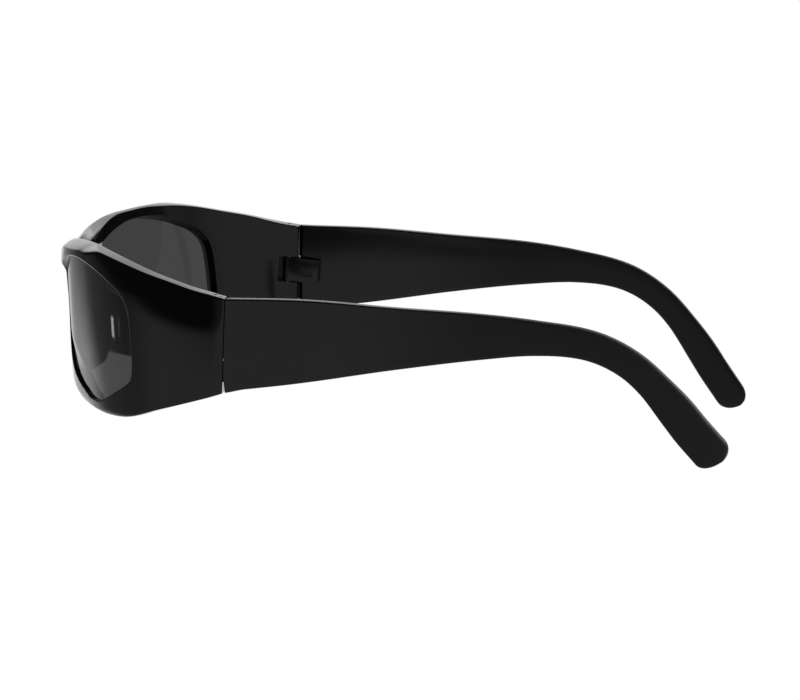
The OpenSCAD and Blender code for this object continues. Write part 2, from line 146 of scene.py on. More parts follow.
# The lenses and their openings
LENS_THICKNESS = 1.6
LENS_ROUND = 0.1  # the soft edge of a lens
LENS_BITE = 0.6  # how far the lens reaches into the groove
LENS_GAP = 0.03  # between the lens and the groove
LENS_LEDGE = 0.1  # how much wider the opening is behind the lens
LENS_FLARE = 1.0  # how much wider at the full depth of the wall
FLARE_LIMITS = (0.3, 1.2)
RECESS_NOSE = 0.36  # how far the lens lies behind the face beside the nose
RECESS_FRONT = 0.85  # and elsewhere
RECESS_SIDE = 0.35  # the same at the sides
RECESS_DEEPENS = (22, 36)  # angles
RECESS_FOOT = (15, 8)  # heights
MOUTH_ROUND = 0.3  # the round at the front of an opening
MOUTH_FLARE = 1.67  # how much wider the tool is outside the wall
CUT_MARGIN = 0.3  # how far the tool stands out of the wall
TOOL_MARGIN = 1  # the same for the hinge's tools
DEGREE = 1.05  # width of one degree on a lens

# The seams and hinges
SEAM_LEAN = 0.06  # how fast the seam runs back below the notch's roof
SEAM_BEVEL = 0.8  # at the inner edge of the temple's end
SEAM_SHOWN = 0.24  # width of the seam
SEAM_LEANS = (66, 90)  # angles over which the front takes up that lean
SEAM_OPENS = 0.4  # how much wider the seam is at the bottom
OPENS_BELOW = 4.5  # height over the bottom where it starts to open
OPENS_OVER = 4.0  # the height over which it does
RIB_WIDTH = 1.2
RIB_SINK = 0.1  # how deep the ridge starts in the front
RIB_GAP = 0.02  # between the ridge and the temple
RIB_ABOVE = 2.8  # from the seam's bottom
RIB_BELOW = 0.2  # from the seam's top
PIN_OFFSET = 63.7  # from the midplane
PIN_AHEAD = 2.4  # of the seam
PIN_RADIUS = 0.6
PIN_HEAD_RADIUS = 1.1
PIN_HEAD_HEIGHT = 0.7
PIN_GAP = 0.05  # round the pin in the temple's eye
PIN_HOLD = 0.01  # round the pin in the front
PIN_DEPTH = 4.5  # below the notch
PIN_STANDS = 0.2  # above the seam's top
EYE_RADIUS = 1.45
EYE_HEIGHT = 6.1
EYE_GAP = 0.3  # above and below the eye
EYE_LIFT = 0.5  # above the hinge height
NOTCH_LENGTH = 4.8
NOTCH_GAP = 0.35  # between the eye and the notch's outer wall
NOTCH_REACH = 5.0  # from the pin toward the midplane
BLOCK_LENGTH = 5.7  # behind the seam
BLOCK_SET = 0.8  # how deep it stands in the temple
BLOCK_ROUND = 0.15
POCKET_DEPTH = 0.6
POCKET_ALONG = (1.5, 3.9)
POCKET_UP = (-1.4, 0.4)

# The temples, whose stretches are distances behind the seam
TEMPLE_THICKNESS = 3.3
TEMPLE_OFFSET = 66.0  # from the midplane at the seam
TEMPLE_ROUND = 1.1
TEMPLE_CROWN = 0.25  # how much the outer face bulges
TOE_IN = 0.095  # how fast a temple runs in
BOW_OUT = 0.002256  # how fast that turns outward
BOW_BACK = 0.0000272  # and in again
BEND_REACH = 6.5  # how far the smoothing of the bend looks each way
BEND_STARTS = (66, 82)
BEND_STOPS = 8  # before the last knot
TOP_ROUND = 0.45  # of the top edges, near the seam
TOP_ROUNDS = (45, 80)  # where they get as round as the lower ones
PARTING_WIDTH = 0.2  # half the width of the line along the top
PARTING_DEPTH = 0.08
INNER_CROWN = 0.6  # how far the inner face leans out at the top
CROWN_SHARE = 0.4  # of the half thickness, at most
LEAST_FLAT = 0.05  # left between the rounds
TWIST = 0.15  # how fast the sections lean in toward the tip
TWISTS = (55, 95)
UPRIGHT = (70, 0)  # where the temple's lean goes
TILTS = (0, 16)  # where the sections turn square to the middle line
SEAM_SETTLES = (6, 0)  # where the seam's shape goes
TIP_LENGTH = 0.89  # share of the tip's half height
TIP_SHIFT = 0.2  # how much of it the middle rises
TIP_THINNING = 0.9  # how much thinner each side of the tip gets

SEAM_Y = (FRONT_REACH - TEMPLE_REACH) / 2
BROW_EDGE = BROW_MIDDLE - BROW_ROUND
STEP_TOP = BROW_EDGE + STEP_LIFT
NOSE_PAD_TOP = (BRIDGE_BOTTOM + 1, BRIDGE_BOTTOM - 9)
EYE_MID = HINGE_HEIGHT + EYE_LIFT
NOTCH_HEIGHT = EYE_HEIGHT + 2 * EYE_GAP
NOTCH_FLOOR = EYE_MID - NOTCH_HEIGHT / 2
NOTCH_ROOF = EYE_MID + NOTCH_HEIGHT / 2
PIN_Y = SEAM_Y - PIN_AHEAD
HEAD_TOP = SEAM_TOP + PIN_STANDS
PIN_FLOOR = NOTCH_FLOOR - PIN_DEPTH

# Angle and height of the front's upper and lower edge
TOP_KNOTS = [
    (0, BROW_MIDDLE), (8, BROW_MIDDLE + 0.9), (15, BROW_PEAK - 2.5), (21.5, BROW_PEAK - 1.1),
    (28.5, BROW_PEAK - 0.4), (35, BROW_PEAK), (42, BROW_PEAK - 0.2), (48.5, BROW_PEAK - 0.6),
    (54.5, BROW_PEAK - 1.2), (64.3, SEAM_TOP + 3), (72.8, SEAM_TOP + 2), (81, SEAM_TOP + 0.9),
    (90, SEAM_TOP),
]
LOW_KNOTS = [
    (0, BRIDGE_BOTTOM), (4.5, BRIDGE_BOTTOM - 0.3), (7.2, BRIDGE_BOTTOM - 3), (9.4, 18.6),
    (11.5, 12.6), (14.5, 6.8), (18.5, 3.2), (24, 1.3), (31, 0.3), (37, 0.1), (43, 0),
    (49, 0.15), (56.3, 0.9), (61.5, 2), (70.6, SEAM_BOTTOM - 6.1), (78.6, SEAM_BOTTOM - 3.6),
    (86, SEAM_BOTTOM - 1.3), (90, SEAM_BOTTOM),
]
# Angle and height of the points round a lens
LENS_KNOTS = np.array([
    (10.7, 21.5), (12.2, 25.6), (14.8, 28.7), (18.2, 31), (22.5, 33), (27.5, 34.6),
    (33.5, 35.2), (40, 34.7), (46, 33.7), (51, 32.3), (55, 30.8), (57.8, 28.6), (59.2, 25.9),
    (60, 22.2), (60.6, 18), (61, 13.8), (60.6, 10.8), (58.6, 9), (54.4, 6.8), (50.5, 4.9),
    (46, 3.2), (41, 2.8), (35.7, 3.9), (30, 5), (24, 6.6), (18.5, 9.2), (14, 13), (11.3, 17.5),
])
LENS_MIDDLE = np.array((36.0, 20.0))
# Distance behind the seam, height of the middle line and half height of a temple
TEMPLE_KNOTS = [
    (0, (SEAM_TOP + SEAM_BOTTOM) / 2 + 0.1, (SEAM_TOP - SEAM_BOTTOM) / 2 - 0.1),
    (20, 25.2, 9.75), (40, 27.65, 7.5), (60, 29.85, 5.55), (75, 30.55, 4.1),
    (TEMPLE_REACH - 32, 29.25, 3.55), (TEMPLE_REACH - 19.5, 21.85, 3.55),
    (TEMPLE_REACH - 12.5, 13.3, 4.15), (TEMPLE_REACH - 4.23, 4.23, 4.23),
]
# The rounded rear edge of a lens opening: how much wider, how far short of the inner face
REAR_EDGE = [
    (0, 0.3), (0.023, 0.222), (0.09, 0.15), (0.12, 0.087), (0.18, 0.039), (0.237, 0.006),
    (1.4, -CUT_MARGIN),
]

# How finely the surfaces are drawn, and the angles in radians from which edges stay sharp
NOSE_SPAN = 24  # degrees each way with narrow columns
NOSE_COLUMNS = 145
SIDE_COLUMNS = 110
FACE_ROWS = 64
INNER_ROWS = 56
ARC_ROWS = 9
LIP_ROWS = 12
PAD_COLUMNS = 48
PAD_ARC = 15
LENS_STEPS = 280
LENS_TANGENT = 0.004  # share of the way round
LENS_RINGS = 44
CUTTER_RINGS = 24
TOP_ROWS = (0.34, 0.67)  # shares of the flat top
ROUND_ROWS = 7
SOFT_ROWS = 4
TEMPLE_ARC = 8
TEMPLE_FLAT = 17
TEMPLE_STEPS = 170
TIP_STEPS = 14
TIP_TURN = 84  # degrees
MOUTH_TURN = (12, 90)  # degrees
BEND_SAMPLES = 15
LOFT_ANGLE = 0.6
MOULD_ANGLE = 0.5


# Curves

def ramp(value, start, end):
    """A straight step from 0 at the start to 1 at the end."""
    return np.clip((value - start) / (end - start), 0.0, 1.0)


def fade(value, start, end):
    """A soft step from 0 at the start to 1 at the end."""
    t = ramp(value, start, end)
    return t * t * (3 - 2 * t)


def blend(a, b, part):
    return a + (b - a) * part


def quarter(count):
    """Angles over a quarter turn."""
    return np.radians(np.linspace(0, 90, count))


def curve_through(knots, t, column=1, flat_start=False):
    """The height at t of a smooth curve through knots whose first column is t."""
    k = np.array(knots, float)
    x, y = k[:, 0], k[:, column]
    m = np.empty(len(x))
    m[1:-1] = (y[2:] - y[:-2]) / (x[2:] - x[:-2])
    m[0] = 0 if flat_start else (y[1] - y[0]) / (x[1] - x[0])
    m[-1] = (y[-1] - y[-2]) / (x[-1] - x[-2])
    i = np.clip(np.searchsorted(x, t, side="right") - 1, 0, len(x) - 2)
    w = x[i + 1] - x[i]
    u = (t - x[i]) / w
    return (y[i] * (1 + 2 * u) * (1 - u) ** 2 + m[i] * w * u * (1 - u) ** 2
            + y[i + 1] * u * u * (3 - 2 * u) + m[i + 1] * w * u * u * (u - 1))


# Meshes

def shade(mesh, angle):
    mesh.shade_smooth()
    mesh.set_sharp_from_angle(angle=angle)


def new_object(name, points, faces):
    """A mesh object from points in millimetres, with outward faces."""
    mesh = bpy.data.meshes.new(name)
    mesh.from_pydata((np.asarray(points) * MM).tolist(), [], [tuple(map(int, f)) for f in faces])
    mesh.validate()
    ob = bpy.data.objects.new(name, mesh)
    bpy.context.scene.collection.objects.link(ob)
    mesh.calc_loop_triangles()
    v = np.empty(len(mesh.vertices) * 3)
    mesh.vertices.foreach_get("co", v)
    v = v.reshape(-1, 3)
    t = np.empty(len(mesh.loop_triangles) * 3, int)
    mesh.loop_triangles.foreach_get("vertices", t)
    t = t.reshape(-1, 3)
    volume = np.einsum("ij,ij->i", v[t[:, 0]], np.cross(v[t[:, 1]], v[t[:, 2]])).sum()
    if volume < 0:
        mesh.flip_normals()
    shade(mesh, LOFT_ANGLE)
    return ob


def loft(name, rings):
    """A closed tube of rings with the same number of points, with fan caps."""
    rings = np.asarray(rings)
    r, n = rings.shape[:2]
    i, j = np.meshgrid(np.arange(r - 1), np.arange(n), indexing="ij")
    k = (j + 1) % n
    faces = np.stack([i * n + j, i * n + k, (i + 1) * n + k, (i + 1) * n + j], -1)
    faces = faces.reshape(-1, 4).tolist()
    points = np.vstack([rings.reshape(-1, 3), rings[0].mean(0), rings[-1].mean(0)])
    for j in range(n):
        k = (j + 1) % n
        faces.append((r * n, k, j))
        faces.append((r * n + 1, (r - 1) * n + j, (r - 1) * n + k))
    return new_object(name, points, faces)


def boolean(target, tool, operation):
    """Adds a tool to a target or cuts it out, and deletes the tool."""
    mod = target.modifiers.new("cut", "BOOLEAN")
    mod.object = tool
    mod.operation = operation
    mod.solver = "MANIFOLD"
    graph = bpy.context.evaluated_depsgraph_get()
    mesh = bpy.data.meshes.new_from_object(target.evaluated_get(graph))
    target.modifiers.remove(mod)
    old, target.data = target.data, mesh
    bpy.data.meshes.remove(old)
    used = tool.data
    bpy.data.objects.remove(tool)
    bpy.data.meshes.remove(used)


def mirrored(ob, name):
    """A copy of an object on the other side of the midplane."""
    mesh = ob.data.copy()
    mesh.name = name
    v = np.empty(len(mesh.vertices) * 3)
    mesh.vertices.foreach_get("co", v)
    v[0::3] *= -1
    mesh.vertices.foreach_set("co", v)
    mesh.flip_normals()
    copy = bpy.data.objects.new(name, mesh)
    bpy.context.scene.collection.objects.link(copy)
    return copy


def with_mirrored(tools):
    return tools + [mirrored(tool, tool.name + "_right") for tool in tools]


def cylinder(name, x, y, z, radius, height, steps=48):
    t = np.arange(steps) * 2 * np.pi / steps
    ring = np.stack([x + radius * np.cos(t), y + radius * np.sin(t), np.full(steps, z)], -1)
    return loft(name, [ring, ring + (0, 0, height)])


def block(name, low, high, edge=0.0):
    """A box whose edges are rounded by a distance."""
    low, high = np.array(low, float), np.array(high, float)
    mid, half = (low + high) / 2, (high - low) / 2
    corners = [(x, y, z) for x in (-1, 1) for y in (-1, 1) for z in (-1, 1)]
    faces = [(0, 1, 3, 2), (4, 6, 7, 5), (0, 4, 5, 1), (2, 3, 7, 6), (0, 2, 6, 4), (1, 5, 7, 3)]
    ob = new_object(name, [mid + half * c for c in corners], faces)
    if edge > 0:
        mod = ob.modifiers.new("round", "BEVEL")
        mod.width = edge * MM
        mod.segments = 3
        graph = bpy.context.evaluated_depsgraph_get()
        rounded = bpy.data.meshes.new_from_object(ob.evaluated_get(graph))
        ob.modifiers.remove(mod)
        ob.data = rounded
    return ob


# The front's surfaces, by angle a in degrees and height h

def top_edge(a):
    return curve_through(TOP_KNOTS, np.abs(a), flat_start=True)


def low_edge(a):
    return curve_through(LOW_KNOTS, np.abs(a), flat_start=True)


def brow_step(h):
    return fade(h, STEP_TOP, STEP_TOP - STEP_HEIGHT)


def face_side(h):
    return HALF_WIDTH - SIDE_LEAN * (h - HINGE_HEIGHT) - SIDE_CROWN * (h - HINGE_HEIGHT) ** 2


def face_front(h):
    return FRONT_REACH - FRONT_TILT * np.maximum(0, BROW_EDGE - h) - BROW_STEP * brow_step(h)


def seam_back(h):
    return SEAM_LEAN * (NOTCH_ROOF - h)


def brow_set_back(a, h):
    """How far the brow leans back toward the temples, and how far its step goes back."""
    away = np.abs(a)
    start = curve_through(LEAN_KNOTS, away)
    u = ramp(h, start, start + LEAN_SPAN)
    lean = BROW_LEAN * (LEAN_SPAN * (u ** 3 - u ** 4 / 2)
                        + np.maximum(0, h - start - LEAN_SPAN))
    step = BROW_STEP * (1 - brow_step(h))
    return lean * fade(away, *LEAN_STARTS) * fade(away, *LEAN_STOPS), step * fade(away, *STEP_GOES)


def space_points(x, y, z):
    return np.stack(np.broadcast_arrays(x, y, z), axis=-1)


def shell(a, h, side, front):
    """Points behind the outer face, by a depth at the sides and one at the front."""
    t = np.radians(a)
    lean, step = brow_set_back(a, h)
    x = (face_side(h) - side - lean) * np.sin(t)
    y = (SEAM_Y - (face_front(h) - front - lean - step) * np.cos(t)
         + seam_back(h) * fade(np.abs(a), *SEAM_LEANS))
    return space_points(x, y, h)


def pane(a, h, side, front):
    """The same for the lenses, on a surface without the overhang of the brow."""
    t = np.radians(a)
    x = (face_side(h) - side) * np.sin(t)
    y = SEAM_Y - (FRONT_REACH - FRONT_TILT * (BROW_EDGE - h) - BROW_STEP - front) * np.cos(t)
    return space_points(x, y, h)


def nose_pad(a, h):
    """How much thicker the wall is beside the nose."""
    return (NOSE_PAD_DEPTH * fade(np.abs(np.abs(a) - NOSE_PAD_AT), *NOSE_PAD_SPREAD)
            * fade(h, *NOSE_PAD_TOP) * fade(h, *NOSE_PAD_FOOT))


def side_depth(a, h):
    return (SIDE_WALL + (END_WALL - SIDE_WALL - SIDE_LEAN * (h - HINGE_HEIGHT))
            * fade(np.abs(a), *END_THICKENS))


def front_depth(a):
    return FRONT_WALL - NOSE_THINNING * fade(np.abs(a), *NOSE_THINS)


def wall_point(a, h, part):
    """Points in the wall: part 0 is the outer face, part 1 the inner one."""
    return shell(a, h, side_depth(a, h) * part,
                 front_depth(a) * part + nose_pad(a, h) * fade(part, 0.5, 1))


def recess(a, h):
    """How far the lens lies behind the face: least beside the nose."""
    deep = np.maximum(fade(np.abs(a), *RECESS_DEEPENS), fade(h, *RECESS_FOOT))
    return blend(RECESS_NOSE, RECESS_FRONT, deep)


def lens_surface(a, h, depth):
    """Points behind the outer face of a lens."""
    return pane(a, h, RECESS_SIDE + depth, recess(a, h) + depth)


# The front

def front_rings():
    """Sections of the front, each drawn up its face, over the top and down the inside."""
    side = np.linspace(NOSE_SPAN, 90, SIDE_COLUMNS + 1)[1:]
    near = np.linspace(-NOSE_SPAN, NOSE_SPAN, NOSE_COLUMNS)
    a = np.concatenate([-side[::-1], near, side])
    away = np.abs(a)
    top, low = top_edge(a), low_edge(a)
    ahead = fade(away, *BROW_BENDS)
    over_nose = ramp(away, *BROW_FALLS)
    fall = BROW_FALL * over_nose ** 2
    bend = 1 + BROW_BEND * ahead
    shoulder = blend(SEAM_ROUND, BROW_ROUND, ahead)
    shoulder_part = SHOULDER_SEAM + SHOULDER_BROW * ahead - SHOULDER_NOSE * over_nose
    lip = blend(LOWER_ROUND, LIP_ROUND, fade(away, *LIP_ROUNDS))
    lip_part = lip / FRONT_WALL
    high_face, low_face = top - shoulder, low + lip
    high_inner, low_inner = top - fall - INNER_ROUND, low + INNER_ROUND
    rows = []
    for u in np.linspace(0, 1, FACE_ROWS + 1):
        rows.append(wall_point(a, blend(low_face, high_face, u), 0.0))
    for t in quarter(ARC_ROWS + 1)[1:]:
        rows.append(wall_point(a, high_face + shoulder * np.sin(t) ** bend,
                               shoulder_part * (1 - np.cos(t) ** bend)))
    for u in TOP_ROWS:
        drop = fall * ((1 - FLAT_FALL) * u * (1 - u) + FLAT_FALL * u * u)
        rows.append(wall_point(a, top - drop, blend(shoulder_part, FLAT_END, u)))
    for t in quarter(ROUND_ROWS):
        drop = INNER_ROUND * (1 - np.cos(t)) + fall * blend(FLAT_FALL, 1, np.sin(t))
        rows.append(wall_point(a, top - drop, blend(FLAT_END, 1, np.sin(t))))
    for u in np.linspace(0, 1, INNER_ROWS + 1)[1:]:
        rows.append(wall_point(a, blend(high_inner, low_inner, u), 1.0))
    for t in quarter(ROUND_ROWS)[1:]:
        rows.append(wall_point(a, low_inner - INNER_ROUND * np.sin(t),
                               1 - BOTTOM_INSET * (1 - np.cos(t))))
    for t in quarter(LIP_ROWS)[:-1]:
        rows.append(wall_point(a, low + lip * (1 - np.cos(t)), lip_part * (1 - np.sin(t))))
    return np.stack(rows, axis=1)


def rounded_ends(rings):
    """Pulls the first and last ring in, so that the end faces have soft edges."""
    out = list(rings)
    for end, step in ((0, 1), (len(out) - 1, -1)):
        ring, nxt = rings[end], rings[end + step]
        axis = (nxt - ring).mean(0)
        axis /= np.linalg.norm(axis)
        tangent = np.roll(ring, -1, 0) - np.roll(ring, 1, 0)
        normal = np.cross(tangent, axis)
        normal /= np.maximum(np.linalg.norm(normal, axis=1, keepdims=True), 1e-9)
        if ((ring - ring.mean(0)) * normal).sum() < 0:
            normal = -normal
        soft = [ring - normal * END_ROUND * (1 - math.sin(t))
                + axis * END_ROUND * (1 - math.cos(t)) for t in quarter(SOFT_ROWS)]
        out = soft + out[1:] if step == 1 else out[:-1] + soft[::-1]
    return out


def pad_rings():
    """A nose pad: a rounded blade behind the edge of the rim beside the nose."""
    a = np.linspace(PAD_FROM, PAD_TO, PAD_COLUMNS)
    edge = wall_point(a, low_edge(a) + INNER_ROUND, 1.0)
    step = wall_point(a + 0.1, low_edge(a + 0.1) + INNER_ROUND, 1.0) - edge
    across = space_points(-step[:, 2], 0, step[:, 0])
    across /= np.linalg.norm(across, axis=1, keepdims=True)
    stand = (PAD_REACH * fade(a, PAD_FROM, PAD_FROM + PAD_RISE) * fade(a, PAD_TO, PAD_TO - PAD_DROP)
             - INNER_ROUND)
    r = PAD_THICKNESS / 2
    arc = np.radians(np.linspace(0, 180, PAD_ARC))
    rings = []
    for i in range(len(a)):
        u = np.concatenate([[2 * r], r + r * np.cos(arc), [0]])
        v = np.concatenate([[-PAD_ROOT], stand[i] - r + r * np.sin(arc), [-PAD_ROOT]])
        shift = PAD_INSET + u + PAD_SPLAY * np.maximum(0, v)
        rings.append(edge[i] + across[i] * shift[:, None] + np.outer(v, (0, 1, 0)))
    return rings


def seam_rib(name, low, high):
    """A fine ridge on the end of the front that keeps light out of the seam."""
    rings = []
    for z in (low, high):
        mid = TEMPLE_OFFSET - SIDE_LEAN * (z - HINGE_HEIGHT)
        back = SEAM_Y + seam_back(z)
        rings.append([(mid, back - RIB_SINK, z), (mid + RIB_WIDTH, back - RIB_SINK, z),
                      (mid + RIB_WIDTH / 2, back + SEAM_SHOWN - RIB_GAP, z)])
    return loft(name, rings)


def hinge_tools():
    """The notch for the temple's eye, the pin's bore and the room for its head."""
    wall = PIN_OFFSET + EYE_RADIUS + NOTCH_GAP
    return [
        block("notch_tool", (PIN_OFFSET - NOTCH_REACH, SEAM_Y - NOTCH_LENGTH, NOTCH_FLOOR),
              (wall, SEAM_Y + TOOL_MARGIN, NOTCH_ROOF)),
        cylinder("bore_tool", PIN_OFFSET, PIN_Y, PIN_FLOOR, PIN_RADIUS + PIN_HOLD,
                 HEAD_TOP - PIN_FLOOR + TOOL_MARGIN),
        cylinder("head_tool", PIN_OFFSET, PIN_Y, HEAD_TOP - PIN_HEAD_HEIGHT,
                 PIN_HEAD_RADIUS + PIN_HOLD, PIN_HEAD_HEIGHT + TOOL_MARGIN),
    ]


def make_front():
    front = loft("moulded_front", rounded_ends(front_rings()))
    for tool in with_mirrored([lens_cutter("lens_tool")] + hinge_tools()):
        boolean(front, tool, "DIFFERENCE")
    added = [
        loft("nose_pad", pad_rings()),
        seam_rib("rib_low", SEAM_BOTTOM + RIB_ABOVE, NOTCH_FLOOR),
        seam_rib("rib_high", NOTCH_ROOF, SEAM_TOP - RIB_BELOW),
    ]
    for tool in with_mirrored(added):
        boolean(front, tool, "UNION")
    shade(front.data, MOULD_ANGLE)
    return front


# The lenses and their openings

LENS_T = np.arange(LENS_STEPS) / LENS_STEPS


def lens_curve(t):
    """The closed curve through the lens's knots, with t from 0 to 1."""
    n = len(LENS_KNOTS)
    i = np.floor(t * n).astype(int)
    u = (t * n - i)[:, None]
    p = [LENS_KNOTS[(i + k) % n] for k in (-1, 0, 1, 2)]
    return p[1] + 0.5 * u * (p[2] - p[0] + u * (2 * p[0] - 5 * p[1] + 4 * p[2] - p[3]
                                               + u * (3 * (p[1] - p[2]) + p[3] - p[0])))


def lens_edge(grow):
    """The lens's outline in degrees and height, larger by a distance in millimetres."""
    d = lens_curve((LENS_T + LENS_TANGENT) % 1) - lens_curve((LENS_T - LENS_TANGENT) % 1)
    d = d * (DEGREE, 1)
    d /= np.linalg.norm(d, axis=1, keepdims=True)
    grow = np.broadcast_to(grow, LENS_T.shape)[:, None]
    return lens_curve(LENS_T) + grow * np.stack([-d[:, 1] / DEGREE, d[:, 0]], -1)


def capped_rings(rows, first, last, steps):
    """Rings across a slab: from its middle out over one side, the rim, and back."""
    def disc(edge, place):
        q = [LENS_MIDDLE + (edge - LENS_MIDDLE) * s for s in np.linspace(0.01, 1, steps)[:-1]]
        return [place(*p.T) for p in q]
    return disc(*first) + rows + disc(*last)[::-1]


def lens_cutter(name):
    """The opening: a rounded mouth, a straight front, the groove and the wider rear."""
    def outside(a, h):
        return shell(a, h, -CUT_MARGIN, -CUT_MARGIN)

    def inside(a, h, short=-CUT_MARGIN):
        return shell(a, h, side_depth(a, h) - short, front_depth(a) + nose_pad(a, h) - short)

    mouth = lens_edge(MOUTH_FLARE)
    rows = [outside(*mouth.T)]
    for t in np.radians(np.linspace(*MOUTH_TURN, ROUND_ROWS)):
        depth = MOUTH_ROUND * (1 - math.cos(t))
        rows.append(shell(*lens_edge(MOUTH_ROUND * (1 - math.sin(t))).T, depth, depth))
    back = LENS_THICKNESS + LENS_GAP
    for grow, depth in ((0, -LENS_GAP), (LENS_BITE + LENS_GAP, -LENS_GAP),
                        (LENS_BITE + LENS_GAP, back), (LENS_LEDGE, back)):
        rows.append(lens_surface(*lens_edge(grow).T, depth))
    a, h = lens_edge(LENS_LEDGE).T
    start = recess(a, h) + LENS_THICKNESS + BROW_STEP
    deep = front_depth(a) + nose_pad(a, h)
    wide = blend(LENS_LEDGE, LENS_FLARE, (deep - start) / (FRONT_WALL - start))
    wide = np.clip(wide, *FLARE_LIMITS)
    for grow, short in REAR_EDGE:
        rows.append(inside(*lens_edge(wide + grow).T, short))
    rear = lens_edge(wide + REAR_EDGE[-1][0])
    return loft(name, capped_rings(rows, (mouth, outside), (rear, inside), CUTTER_RINGS))


def make_lens():
    """A curved lens with a softly broken edge."""
    def outer(a, h):
        return lens_surface(a, h, 0)

    def inner(a, h):
        return lens_surface(a, h, LENS_THICKNESS)

    rim = [(lens_edge(LENS_BITE - LENS_ROUND * (1 - math.sin(t))), LENS_ROUND * (1 - math.cos(t)))
           for t in quarter(SOFT_ROWS)]
    rows = [lens_surface(*q.T, depth) for q, depth in rim]
    rows += [lens_surface(*q.T, LENS_THICKNESS - depth) for q, depth in rim[::-1]]
    edge = lens_edge(LENS_BITE - LENS_ROUND)
    return loft("lens_left_pane", capped_rings(rows, (edge, outer), (edge, inner), LENS_RINGS))


# The temples

def temple_line(v):
    """How far from the midplane a temple runs."""
    return TEMPLE_OFFSET - TOE_IN * v + BOW_OUT * v * v - BOW_BACK * v ** 3


def temple_state(v):
    """The middle line of a temple, smoothed where it bends down behind the ear."""
    last = TEMPLE_KNOTS[-1][0]
    reach = BEND_REACH * fade(v, *BEND_STARTS) * fade(v, last, last - BEND_STOPS)
    near = v + reach * np.linspace(-1, 1, BEND_SAMPLES)
    return np.array((v, curve_through(TEMPLE_KNOTS, near, 1).mean()))


def temple_outline(half, thick, top_round):
    """A section's outline, across and up, with a fine parting line along the top."""
    r = min(TEMPLE_ROUND, thick - LEAST_FLAT, half - LEAST_FLAT)
    k = min(top_round, r)
    arc = quarter(TEMPLE_ARC)
    flat = np.linspace(0, 1, TEMPLE_FLAT)[1:-1] * (2 * half - r - k) - half + r
    low = [(thick - r + r * math.cos(t), -(half - r + r * math.sin(t))) for t in arc]
    high = [(thick - k + k * math.cos(t), half - k + k * math.sin(t)) for t in arc]
    out = low[::-1] + [(thick, z) for z in flat] + high
    for x, drop in ((1, 0), (0.5, PARTING_DEPTH), (-0.5, PARTING_DEPTH), (-1, 0)):
        out.append((x * PARTING_WIDTH, half - drop))
    out += [(-x, z) for x, z in high[::-1]] + [(-thick, z) for z in flat[::-1]]
    out += [(-x, z) for x, z in low]
    q = np.array(out)
    up = q[:, 1] / half
    q[:, 0] += np.where(q[:, 0] > 0, TEMPLE_CROWN * fade(np.abs(up), 1, 0),
                        min(INNER_CROWN, CROWN_SHARE * thick) * np.maximum(0, up) ** 2)
    return q


def temple_ring(v, shift, half, thick, root=False, rise=0.0):
    """A section of a temple, at a distance behind the seam or shifted on past the last knot."""
    c = temple_state(v)
    d = temple_state(v + 0.5) - temple_state(v - 0.5)
    d /= np.linalg.norm(d)
    tilt = fade(v, *TILTS)
    q = temple_outline(half, thick, blend(TOP_ROUND, TEMPLE_ROUND, fade(v, *TOP_ROUNDS)))
    q[:, 0] -= TWIST * fade(v, *TWISTS) * q[:, 1]
    q[:, 1] += rise
    y = c[0] + shift * d[0] - q[:, 1] * d[1] * tilt
    z = c[1] + shift * d[1] + q[:, 1] * (1 + (d[0] - 1) * tilt)
    opens = SEAM_BOTTOM + OPENS_BELOW
    seam = SEAM_SHOWN + seam_back(z) + SEAM_OPENS * fade(z, opens, opens - OPENS_OVER)
    bevel = np.where(q[:, 0] < 0, SEAM_BEVEL + SIDE_LEAN * np.maximum(0, z - HINGE_HEIGHT), 0)
    lean = SIDE_LEAN * fade(v, *UPRIGHT)
    x = temple_line(y) - lean * (z - HINGE_HEIGHT) + q[:, 0] + (bevel if root else 0)
    return space_points(x, SEAM_Y + seam * fade(v, *SEAM_SETTLES) + y, z)


def temple_body(name):
    last, _, tip = TEMPLE_KNOTS[-1]
    half = TEMPLE_THICKNESS / 2
    rings = [temple_ring(0, 0, TEMPLE_KNOTS[0][2], half, True)]
    for v in np.linspace(SEAM_BEVEL, last, TEMPLE_STEPS):
        rings.append(temple_ring(v, 0, float(curve_through(TEMPLE_KNOTS, v, 2)), half))
    for t in np.radians(np.linspace(0, TIP_TURN, TIP_STEPS)[1:]):
        rings.append(temple_ring(last, TIP_LENGTH * tip * math.sin(t), tip * math.cos(t),
                                 half - TIP_THINNING * (1 - math.cos(t)),
                                 rise=TIP_SHIFT * tip * (1 - math.cos(t))))
    return loft(name, rings)


def make_temple():
    """The left temple with its hinge: a block, an eye with a bore, and a pocket."""
    temple = temple_body("temple_left_arm")
    eye_floor = EYE_MID - EYE_HEIGHT / 2
    eye_side = PIN_OFFSET - EYE_RADIUS
    arm = TEMPLE_OFFSET - TEMPLE_THICKNESS / 2 + BLOCK_SET
    eye = cylinder("eye", PIN_OFFSET, PIN_Y, eye_floor, EYE_RADIUS, EYE_HEIGHT, 64)
    boolean(temple, eye, "UNION")
    hinge_block = block("hinge_block", (eye_side, PIN_Y, eye_floor),
                        (arm, SEAM_Y + BLOCK_LENGTH, eye_floor + EYE_HEIGHT), BLOCK_ROUND)
    boolean(temple, hinge_block, "UNION")
    bore = cylinder("eye_bore", PIN_OFFSET, PIN_Y, eye_floor - TOOL_MARGIN,
                    PIN_RADIUS + PIN_GAP, EYE_HEIGHT + 2 * TOOL_MARGIN)
    boolean(temple, bore, "DIFFERENCE")
    (front, back), (low, high) = POCKET_ALONG, POCKET_UP
    pocket = block("pocket", (eye_side - TOOL_MARGIN, SEAM_Y + front, EYE_MID + low),
                   (eye_side + POCKET_DEPTH, SEAM_Y + back, EYE_MID + high))
    boolean(temple, pocket, "DIFFERENCE")
    shade(temple.data, MOULD_ANGLE)
    return temple


# Materials

